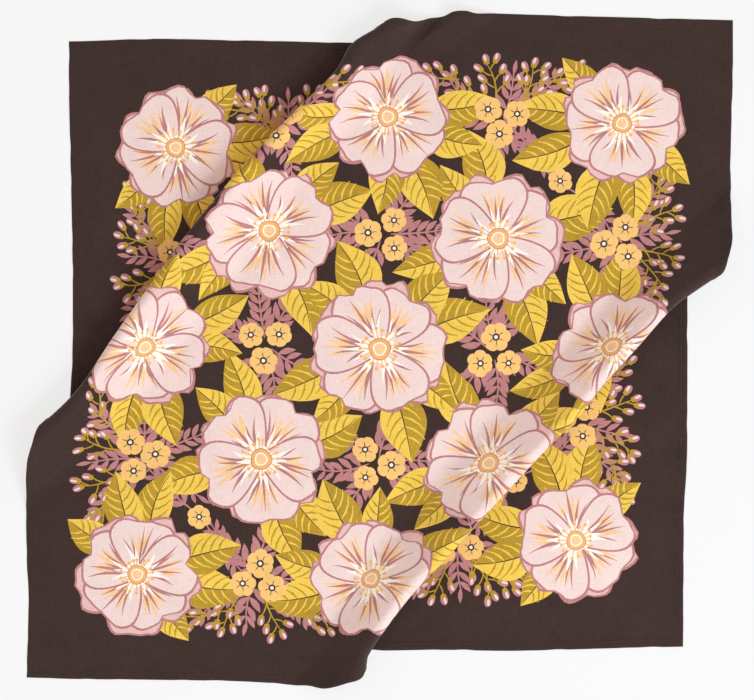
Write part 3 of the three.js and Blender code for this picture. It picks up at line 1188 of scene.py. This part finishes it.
def inside(points: np.ndarray, outline: np.ndarray) -> np.ndarray:
    """Which points lie inside an outline: those whose ray to the right crosses it an odd number of times.

    Args:
        points: the points.
        outline: the closed outline.

    Returns:
        True for each point inside.
    """
    x, y = points[:, :1], points[:, 1:]
    (x0, y0), (x1, y1) = outline.T, np.roll(outline, -1, axis=0).T
    crosses = (y0 > y) != (y1 > y)
    rise = np.where(y1 == y0, 1, y1 - y0)
    return ((crosses & (x < x0 + (y - y0) * (x1 - x0) / rise)).sum(1) % 2).astype(bool)


def topmost(points: np.ndarray, outlines: Sequence[np.ndarray]) -> np.ndarray:
    """The last outline round each point.

    Args:
        points: the points.
        outlines: the closed outlines.

    Returns:
        For each point the number of that outline, or -1.
    """
    order = np.argsort(points[:, 0])
    ranked = points[order]
    found = np.full(len(points), -1)
    for number, outline in enumerate(outlines):
        (left, low), (right, high) = outline.min(0), outline.max(0)
        near = np.arange(*np.searchsorted(ranked[:, 0], (left, right)))
        near = near[(ranked[near, 1] > low) & (ranked[near, 1] < high)]
        found[order[near[inside(ranked[near], outline)]]] = number
    return found


@dataclass(frozen=True)
class Net:
    """How closely one side of the cloth is divided, in millimetres and rows."""

    level: float = 10.0
    along: float = 6.5
    rows: tuple[int, ...] = (10, 5, 14, 4, 9)  # of a wave's foot, rising face, crest, falling face, heel
    tuck_rows: tuple[int, ...] = (5, 3, 5, 1, 5)
    hem_lines: tuple[float, ...] = (0.3, 0.9, 3.9, 4.5, 5.1, 5.9, 6.6, 7.4)
    clear: float = 1.2  # between the hem's innermost line and the places inside it
    sag: float = 0.06  # how far a straight line may cut a bend short
    least: float = 0.2  # added to the greatest length of every such line
    bend_margin: float = 1.0  # how far beyond a bend its lines are still kept short
    wave_clear: float = 2.0  # between a wave and the lattice beside it
    bent_step: float = 1.6  # between the hem's places in a wave
    level_step: float = 3.6  # the same elsewhere
    fine_step: float = 0.25  # with which a hem is measured
    corner_clear: float = 0.5  # between a hem's corner and its next place

    @staticmethod
    def to_flat(across: np.ndarray, along: np.ndarray) -> np.ndarray:
        """The flat x and y of places given across and along the long diagonal."""
        return np.stack([across + along, along - across], 1) / ROOT2

    def wave_places(self, wave: Wave) -> np.ndarray:
        """Places over one wave, in rows that follow its bends.

        Args:
            wave: the wave.

        Returns:
            Places on the flat cloth, some of them beyond its edge.
        """
        along = np.arange(-HALF_DIAGONAL, HALF_DIAGONAL, self.along)
        pieces, distance = wave.stretches(along)
        counts = (*self.tuck_rows, *self.rows)[-len(pieces) :]
        rows = [distance]
        for piece, count in zip(pieces, counts, strict=True):
            rows += [distance + piece.length * k / count for k in range(1, count + 1)]
            distance = distance + piece.length
        across = wave.across * np.stack(rows)
        return self.to_flat(across.ravel(), np.broadcast_to(along, across.shape).ravel())

    def longest_line(self, waves: Sequence[Wave], flat: np.ndarray) -> np.ndarray:
        """The greatest length of a straight line: the root of 8 times the sag and the bend's radius.

        Args:
            waves: the waves.
            flat: places on the flat cloth.

        Returns:
            The length for each place.
        """
        across, along = diagonal(flat)
        longest = np.full(len(flat), self.level)
        for wave in waves:
            pieces, start = wave.stretches(along)
            for piece in pieces:
                end = start + piece.length
                distance = wave.across * across
                near = (distance > start - self.bend_margin) & (distance < end + self.bend_margin)
                turned = np.maximum(np.abs(piece.end - piece.start), SAME_PLACE)
                radius = np.maximum(piece.length, 0) / turned
                here = np.minimum(longest, np.sqrt(8 * self.sag * radius) + self.least)
                longest = np.where(near, here, longest)
                start = end
        return longest

    def level_places(self, waves: Sequence[Wave]) -> np.ndarray:
        """Places on a square lattice where the cloth lies level.

        Args:
            waves: the waves.

        Returns:
            Places on the flat cloth.
        """
        line = np.arange(-HALF + self.level / 2, HALF, self.level)
        flat = np.stack(np.meshgrid(line, line), -1).reshape(-1, 2)
        return flat[~np.any([wave.holds(flat, self.wave_clear) for wave in waves], axis=0)]

    def hem_places(self, waves: Sequence[Wave], offset: float) -> np.ndarray:
        """Places along one line round the cloth, closer together where a wave bends it.

        Args:
            waves: the waves.
            offset: the line's distance from the edge.

        Returns:
            The places, with the line's four corners.
        """
        reach = HALF - offset
        fine = np.arange(-HALF, HALF, self.fine_step)
        sides = []
        for cos, sin in QUARTER_TURNS:
            side = np.stack([fine * cos + HALF * sin, fine * sin - HALF * cos], 1)
            bent = np.any([wave.holds(side) for wave in waves], axis=0)
            count = np.cumsum(np.where(bent, 1 / self.bent_step, 1 / self.level_step)) * self.fine_step
            at = np.interp(np.arange(1, int(count[-1])), count, fine)
            at = np.concatenate([at[np.abs(at) < reach - self.corner_clear], [-reach]])
            sides.append(np.stack([at * cos + reach * sin, at * sin - reach * cos], 1))
        return np.concatenate(sides)

    def places(self, waves: Sequence[Wave], rim: np.ndarray) -> np.ndarray:
        """All the places of one side.

        Args:
            waves: the waves.
            rim: the places on the edge.

        Returns:
            Places on the flat cloth, the rim's first.
        """
        inner = np.concatenate([self.level_places(waves), *(self.wave_places(wave) for wave in waves)])
        inner = inner[ClothForm.from_edge(inner) > max(self.hem_lines) + self.clear]
        return np.concatenate([rim, *(self.hem_places(waves, line) for line in self.hem_lines), inner])


def new_mesh(name: str, points: np.ndarray, faces: np.ndarray) -> bpy.types.Object:
    """A smooth-shaded mesh object, linked to the scene.

    Args:
        name: the object's name.
        points: its points, metres.
        faces: the points of its faces, which are all of one size.

    Returns:
        The object.
    """
    mesh = bpy.data.meshes.new(name)
    mesh.from_pydata(points.tolist(), [], faces.tolist())
    mesh.polygons.foreach_set("use_smooth", np.ones(len(mesh.polygons), bool))
    mesh.update()
    piece = bpy.data.objects.new(name, mesh)
    bpy.context.scene.collection.objects.link(piece)
    return piece


@dataclass
class Bandana:
    """The printed, hemmed square of cotton."""

    form: ClothForm = ClothForm()
    design: FloralPrint = field(default_factory=FloralPrint)
    upper_net: Net = Net()
    under_net: Net = Net(
        level=9.0,
        along=8.0,
        rows=(6, 3, 9, 3, 6),
        tuck_rows=(3, 3, 3, 1, 3),
        hem_lines=(6.6,),
        clear=2.5,
    )
    upper_share: float = 0.72  # of the width of the map that the upper side takes
    map_gap: float = 0.01  # half the gap between the two sides in the map
    shift: np.ndarray = field(init=False)  # the move that centres the cloth, metres

    def build(self) -> bpy.types.Object:
        """Builds the cloth as one closed sheet and dresses it."""
        waves = self.form.waves
        rim = self.upper_net.hem_places(waves, 0.0)
        upper, inks = printed_net(
            self.upper_net.places(waves, rim),
            self.design.shapes(),
            partial(self.upper_net.longest_line, waves),
        )
        under = net_of(self.under_net.places(waves, rim))
        top, bottom = self.form.points(upper.flat, 1.0), self.form.points(under.flat, 0.0)
        faces, flat = self.closed(upper, under)
        points = np.concatenate([top, bottom])
        low, high = (np.array(corner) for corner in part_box("bandana_cloth"))
        self.shift = (low + high) / 2 - (points.min(0) + points.max(0)) / 2
        self.shift[2] = 0
        piece = new_mesh("bandana", points + self.shift, faces)
        self.colour(piece, inks)
        self.map_cloth(piece, flat, faces, len(upper.flat))
        piece.data.materials.append(PrintedCotton().material())
        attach(piece, "root")
        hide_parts("bandana_cloth")
        return piece

    @staticmethod
    def closed(upper: Facets, under: Facets) -> tuple[np.ndarray, np.ndarray]:
        """The faces of both sides and of the narrow rim between them, and the flat place of each point.

        The under side's triangles are turned over, and each step round the rim gives two triangles
        between the sides.

        Args:
            upper: the upper side's net.
            under: the under side's net, with the same rim.

        Returns:
            The faces and the flat places.
        """
        count = len(upper.flat)
        above, below = upper.rim(), under.rim() + count
        if len(above) != len(below):
            raise ValueError("the two sides have different rims")
        next_above, next_below = np.roll(above, -1), np.roll(below, -1)
        wall = np.concatenate(
            [np.stack([next_above, above, below], 1), np.stack([next_above, below, next_below], 1)]
        )
        faces = np.concatenate([upper.triangles, under.triangles[:, ::-1] + count, wall])
        return faces, np.concatenate([upper.flat, under.flat])

    @staticmethod
    def colour(piece: bpy.types.Object, inks: np.ndarray) -> None:
        """Gives the upper side's faces the colours of their inks, and all others the ground's.

        Args:
            piece: the cloth.
            inks: the number of the ink of each of the upper side's faces, which are the first ones.
        """
        palette = list(Ink)
        colours = np.array([linear(ink.value) for ink in palette])
        every = np.full(len(piece.data.polygons), palette.index(Ink.GROUND))
        every[: len(inks)] = inks
        layer = piece.data.color_attributes.new("print", "FLOAT_COLOR", "CORNER")
        layer.data.foreach_set("color", np.repeat(colours[every], 3, axis=0).ravel())

    def map_cloth(
        self, piece: bpy.types.Object, flat: np.ndarray, faces: np.ndarray, upper_points: int
    ) -> None:
        """Lays two maps on the cloth: its flat place in metres, and both sides spread out side by side.

        Args:
            piece: the cloth.
            flat: the flat place of each of its points.
            faces: the points of its faces.
            upper_points: how many of the points are the upper side's.
        """
        corner = faces.ravel()
        weave = piece.data.uv_layers.new(name="cloth")
        weave.data.foreach_set("uv", (flat[corner] * MM).ravel())
        square = np.clip(flat / SIDE + 0.5, 0, 1)
        wide = np.array([self.upper_share - self.map_gap, 1.0])
        narrow = np.array([1 - self.upper_share - self.map_gap, 1.0])
        spread = square * wide
        spread[upper_points:] = square[upper_points:] * narrow + [self.upper_share + self.map_gap, 0]
        own = piece.data.uv_layers.new(name="OFBake")
        own.data.foreach_set("uv", spread[corner].ravel())


@dataclass(frozen=True)
class HemStitching:
    """The line of lockstitch that holds the hem, one small thread for each stitch."""

    inset: float = 4.5  # of the line from the edge
    pitch: float = 2.9
    length: float = 2.35
    radius: float = 0.17
    arch: float = 0.1  # how far a stitch's middle stands above its ends
    sunk: float = 0.06  # how far its ends lie in the cloth
    wander: float = 0.07  # of the stitches to either side of their line
    rings: int = 5
    sides: int = 6

    def build(self, form: ClothForm, shift: np.ndarray) -> bpy.types.Object:
        """Builds all stitches as tubes that dip into the cloth at both ends.

        A stitch's centre line follows the cloth's upper side, raised by an arch, and its radius grows
        from a point as the fourth root of a sine.

        Args:
            form: the cloth's shape.
            shift: the move that centres the cloth, metres.

        Returns:
            The stitching.
        """
        reach = HALF - self.inset
        count = int(2 * reach / self.pitch)
        starts = (np.arange(count) - count / 2) * self.pitch
        share = np.linspace(0, 1, self.rings)
        line = (starts[:, None] + share * self.length)[..., None]
        across = np.full_like(line, -reach)
        rng = np.random.default_rng(3)
        side = np.concatenate([line, across + rng.normal(0, self.wander, (count, 1, 1))], 2)
        turns = [np.array([[cos, sin], [-sin, cos]], float) for cos, sin in QUARTER_TURNS]
        flat = np.concatenate([side @ turn for turn in turns]).reshape(-1, 2)
        centre = form.points(flat, 1.0) / MM
        normal = form.normals(flat)
        shape = (-1, self.rings, 3)
        run = np.gradient(centre.reshape(shape), axis=1).reshape(-1, 3)
        aside = np.cross(normal, run / np.linalg.norm(run, axis=1)[:, None])
        bow = np.tile(np.sin(np.pi * share), len(flat) // self.rings)
        centre = centre + normal * (self.arch * bow - self.sunk)[:, None]
        size = self.radius * (0.3 + 0.7 * bow**0.25)
        angle = np.linspace(0, 2 * np.pi, self.sides, endpoint=False)[None, :, None]
        ring = np.cos(angle) * aside[:, None] + np.sin(angle) * normal[:, None]
        points = (centre[:, None] + ring * size[:, None, None]).reshape(-1, 3) * MM + shift
        piece = new_mesh("hem_stitching", points, self.faces(len(flat) // self.rings))
        piece.data.materials.append(Thread().material())
        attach(piece, "root")
        return piece

    def faces(self, stitches: int) -> np.ndarray:
        """The triangles of every stitch: its tube and a fan over each end.

        Args:
            stitches: how many stitches there are.

        Returns:
            The triangles.
        """
        ring, side = np.meshgrid(np.arange(self.rings - 1), np.arange(self.sides), indexing="ij")
        a = (ring * self.sides + side).ravel()
        b = (ring * self.sides + (side + 1) % self.sides).ravel()
        next_a, next_b = a + self.sides, b + self.sides
        tube = np.concatenate([np.stack([a, b, next_b], 1), np.stack([a, next_b, next_a], 1)])
        k = np.arange(1, self.sides - 1)
        first = np.stack([np.zeros_like(k), k + 1, k], 1)
        last = np.stack([np.zeros_like(k), k, k + 1], 1) + (self.rings - 1) * self.sides
        one = np.concatenate([tube, first, last])
        step = self.rings * self.sides
        return (one[None] + (np.arange(stitches) * step)[:, None, None]).reshape(-1, 3)


# Finishes.


class Graph:
    """A material's node tree, with a short way to add the nodes used here."""

    def __init__(self, name: str) -> None:
        """Starts a material whose surface is one Principled shader."""
        self.owner = bpy.data.materials.new(name)
        self.owner.use_nodes = True
        self.tree = self.owner.node_tree
        self.shader = self.tree.nodes["Principled BSDF"]

    def node(self, kind: str, settings: dict | None = None, **inputs: object) -> bpy.types.Node:
        """Adds a node.

        Args:
            kind: the node's type.
            settings: its properties.
            **inputs: a value or an output socket for each named input, with _ for a space.

        Returns:
            The node.
        """
        made = self.tree.nodes.new(kind)
        for key, value in (settings or {}).items():
            setattr(made, key, value)
        for key, value in inputs.items():
            self.set(made.inputs[key.replace("_", " ")], value)
        return made

    def set(self, socket: bpy.types.NodeSocket, value: object) -> None:
        """Links an output socket to an input, or sets the input's value."""
        if isinstance(value, bpy.types.NodeSocket):
            self.tree.links.new(value, socket)
        else:
            socket.default_value = value

    def maths(self, operation: str, *values: object) -> bpy.types.NodeSocket:
        """One step of arithmetic.

        Args:
            operation: its name.
            *values: numbers or output sockets.

        Returns:
            The result's socket.
        """
        made = self.tree.nodes.new("ShaderNodeMath")
        made.operation = operation
        for socket, value in zip(made.inputs, values, strict=False):
            self.set(socket, value)
        return made.outputs[0]

    def shade(self, colour: bpy.types.NodeSocket, factor: object) -> bpy.types.NodeSocket:
        """A colour times a number.

        Args:
            colour: the colour's socket.
            factor: the number or its socket.

        Returns:
            The result's socket.
        """
        made = self.tree.nodes.new("ShaderNodeVectorMath")
        made.operation = "SCALE"
        self.set(made.inputs[0], colour)
        self.set(made.inputs["Scale"], factor)
        return made.outputs[0]


@dataclass(frozen=True)
class PrintedCotton:
    """Plain-woven cotton, dyed through and printed on its face."""

    thread: float = 0.00042  # from one thread to the next, metres
    roughness: float = 0.9
    sheen: float = 0.26
    sheen_roughness: float = 0.45
    weave_depth: float = 0.00005
    mottle: float = 0.5  # of the dyed ground; lighter inks have less
    slub: float = 0.6  # unevenness of the yarns, likewise
    yarn_length: float = 130.0  # how often a yarn's tone changes along it, per metre
    yarn_width: float = 820.0  # the same across the yarns
    dye_scale: float = 34.0  # patches of uneven dye per metre
    dye_rough: float = 0.1  # how far they change the roughness
    even_ink: float = 1.08  # the lightness at which an ink would show no unevenness
    # painted shade in the weave's hollows and painted light on its raised crossings, as a share of the
    # colour
    weave_painted_shade: float = 0.04
    yarn_relief: float = 0.6  # against the weave's
    bump: float = 0.6
    specular: float = 0.2

    def material(self) -> bpy.types.Material:
        """The material: printed colour, uneven dye and yarns, the weave's bumps with painted shade in its
        hollows and painted light on its crossings, and soft sheen.

        The weave's height is the product of two sines of the flat place, one along each set of threads,
        and the yarns' own unevenness is noise drawn out along each of them.
        """
        graph = Graph("printed_cotton")
        flat = graph.node("ShaderNodeUVMap", {"uv_map": "cloth"}).outputs["UV"]
        u_v = graph.node("ShaderNodeSeparateXYZ", Vector=flat)
        turn = np.pi / self.thread
        sine_u = graph.maths("SINE", graph.maths("MULTIPLY", u_v.outputs["X"], turn))
        sine_v = graph.maths("SINE", graph.maths("MULTIPLY", u_v.outputs["Y"], turn))
        weave = graph.maths("MULTIPLY", sine_u, sine_v)
        yarns = [
            graph.node(
                "ShaderNodeTexNoise",
                Vector=graph.node("ShaderNodeMapping", Vector=flat, Scale=scale).outputs[0],
                Scale=1.0,
                Detail=3.0,
            ).outputs[0]
            for scale in ((self.yarn_length, self.yarn_width, 1), (self.yarn_width, self.yarn_length, 1))
        ]
        yarn = graph.maths("ADD", *yarns)
        dye = graph.node("ShaderNodeTexNoise", Vector=flat, Scale=self.dye_scale, Detail=5.0).outputs[0]
        printed = graph.node("ShaderNodeAttribute", {"attribute_name": "print"})
        darkness = graph.maths("SUBTRACT", self.even_ink, printed.outputs["Fac"])
        uneven = graph.maths("MULTIPLY", graph.maths("SUBTRACT", dye, 0.5), self.mottle)
        uneven = graph.maths("MULTIPLY_ADD", graph.maths("SUBTRACT", yarn, 1.0), self.slub, uneven)
        tone = graph.maths("MULTIPLY_ADD", uneven, darkness, 1.0)
        # painted light and shade of the weave: darker where its height is low, lighter where it is high
        tone = graph.maths("MULTIPLY_ADD", weave, self.weave_painted_shade, tone)
        graph.set(graph.shader.inputs["Base Color"], graph.shade(printed.outputs["Color"], tone))
        patch = graph.maths("SUBTRACT", dye, 0.5)
        rough = graph.maths("MULTIPLY_ADD", patch, self.dye_rough, self.roughness)
        graph.set(graph.shader.inputs["Roughness"], rough)
        height = graph.maths("MULTIPLY_ADD", yarn, self.yarn_relief, weave)
        bump = graph.node("ShaderNodeBump", Height=height, Distance=self.weave_depth, Strength=self.bump)
        graph.set(graph.shader.inputs["Normal"], bump.outputs[0])
        graph.set(graph.shader.inputs["Sheen Weight"], self.sheen)
        graph.set(graph.shader.inputs["Sheen Roughness"], self.sheen_roughness)
        graph.set(graph.shader.inputs["Specular IOR Level"], self.specular)
        return graph.owner


@dataclass(frozen=True)
class Thread:
    """Brown sewing thread."""

    dark: str = "1E1613"
    light: str = "33261F"
    twist: float = 0.0009  # from one ply to the next, metres
    roughness: float = 0.62
    sheen: float = 0.2

    def material(self) -> bpy.types.Material:
        """The material: slanting plies along each stitch, slightly glossy."""
        graph = Graph("brown_thread")
        place = graph.node("ShaderNodeTexCoord").outputs["Object"]
        ply = graph.node("ShaderNodeTexNoise", Vector=place, Scale=1 / self.twist, Detail=1.0).outputs[0]
        ramp = graph.node("ShaderNodeMix", {"data_type": "RGBA"})
        graph.set(ramp.inputs[0], ply)
        graph.set(ramp.inputs[6], linear(self.dark))
        graph.set(ramp.inputs[7], linear(self.light))
        graph.set(graph.shader.inputs["Base Color"], ramp.outputs[2])
        graph.set(graph.shader.inputs["Roughness"], self.roughness)
        graph.set(graph.shader.inputs["Sheen Weight"], self.sheen)
        return graph.owner


@dataclass(frozen=True)
class Studio:
    """A plain pale table, soft daylight from the lower right, and a camera straight above."""

    width: float = 0.6193  # of the table that the picture shows, metres
    middle: tuple[float, float] = (-0.0021, -0.0004)
    height: float = 6.0  # of the camera
    sensor: float = 36.0
    key: float = 53.0
    key_colour: tuple[float, float, float] = (0.79, 0.915, 1.0)
    key_way: tuple[float, float, float] = (0.64, -0.6, 0.88)
    key_distance: float = 2.3
    key_size: float = 1.3
    sky: float = 0.73
    sky_colour: tuple[float, float, float, float] = (1.0, 0.92, 0.865, 1.0)
    table_colour: str = "7A7A7A"
    table_reach: float = 20.0
    table_depth: float = 0.0002  # below the cloth
    glow: float = 0.72  # of the table itself, which keeps the shadows on it faint

    def build(self) -> None:
        """Builds the table, the lights and the camera."""
        self.table()
        self.lights()
        self.camera()

    def table(self) -> None:
        """A level pale surface just below the cloth."""
        corners = np.array([[-1, -1], [1, -1], [1, 1], [-1, 1]]) * self.table_reach
        points = np.concatenate([corners, np.full((4, 1), -self.table_depth)], 1)
        surface = new_mesh("table_top", points, np.array([[0, 1, 2, 3]]))
        graph = Graph("pale_table")
        graph.set(graph.shader.inputs["Base Color"], linear(self.table_colour))
        graph.set(graph.shader.inputs["Emission Color"], (1.0, 1.0, 1.0, 1.0))
        graph.set(graph.shader.inputs["Emission Strength"], self.glow)
        graph.set(graph.shader.inputs["Roughness"], 0.9)
        surface.data.materials.append(graph.owner)

    def lights(self) -> None:
        """A large soft window of light on the lower right, and an even pale surround."""
        lamp = bpy.data.lights.new("window", "AREA")
        lamp.shape, lamp.size = "SQUARE", self.key_size
        lamp.energy, lamp.color = self.key, self.key_colour
        window = bpy.data.objects.new("window", lamp)
        window.location = Vector(self.key_way) * self.key_distance
        window.rotation_mode = "QUATERNION"
        window.rotation_quaternion = Vector(self.key_way).to_track_quat("Z", "Y")
        bpy.context.scene.collection.objects.link(window)
        world = bpy.data.worlds.new("surround")
        world.use_nodes = True
        background = world.node_tree.nodes["Background"]
        background.inputs["Color"].default_value = self.sky_colour
        background.inputs["Strength"].default_value = self.sky
        bpy.context.scene.world = world
        bpy.context.scene.view_settings.view_transform = "Standard"

    def camera(self) -> None:
        """A long lens straight above, so that raised folds keep their place."""
        lens = bpy.data.cameras.new("overhead")
        lens.sensor_width = self.sensor
        lens.lens = lens.sensor_width * self.height / self.width
        lens.clip_end = 100.0
        camera = bpy.data.objects.new("overhead", lens)
        camera.location = (*self.middle, self.height)
        bpy.context.scene.collection.objects.link(camera)
        bpy.context.scene.camera = camera


def main() -> None:
    """Builds the bandana, its stitching and the studio, and notes the sizes."""
    logging.basicConfig(level=logging.INFO, format="%(name)s: %(message)s")
    bandana = Bandana()
    cloth = bandana.build()
    LOG.info("%s: %d faces", cloth.name, len(cloth.data.polygons))
    stitching = HemStitching().build(bandana.form, bandana.shift)
    LOG.info("%s: %d faces", stitching.name, len(stitching.data.polygons))
    Studio().build()
    LOG.info("studio: table, light and camera")


if __name__ == "__main__":
    main()
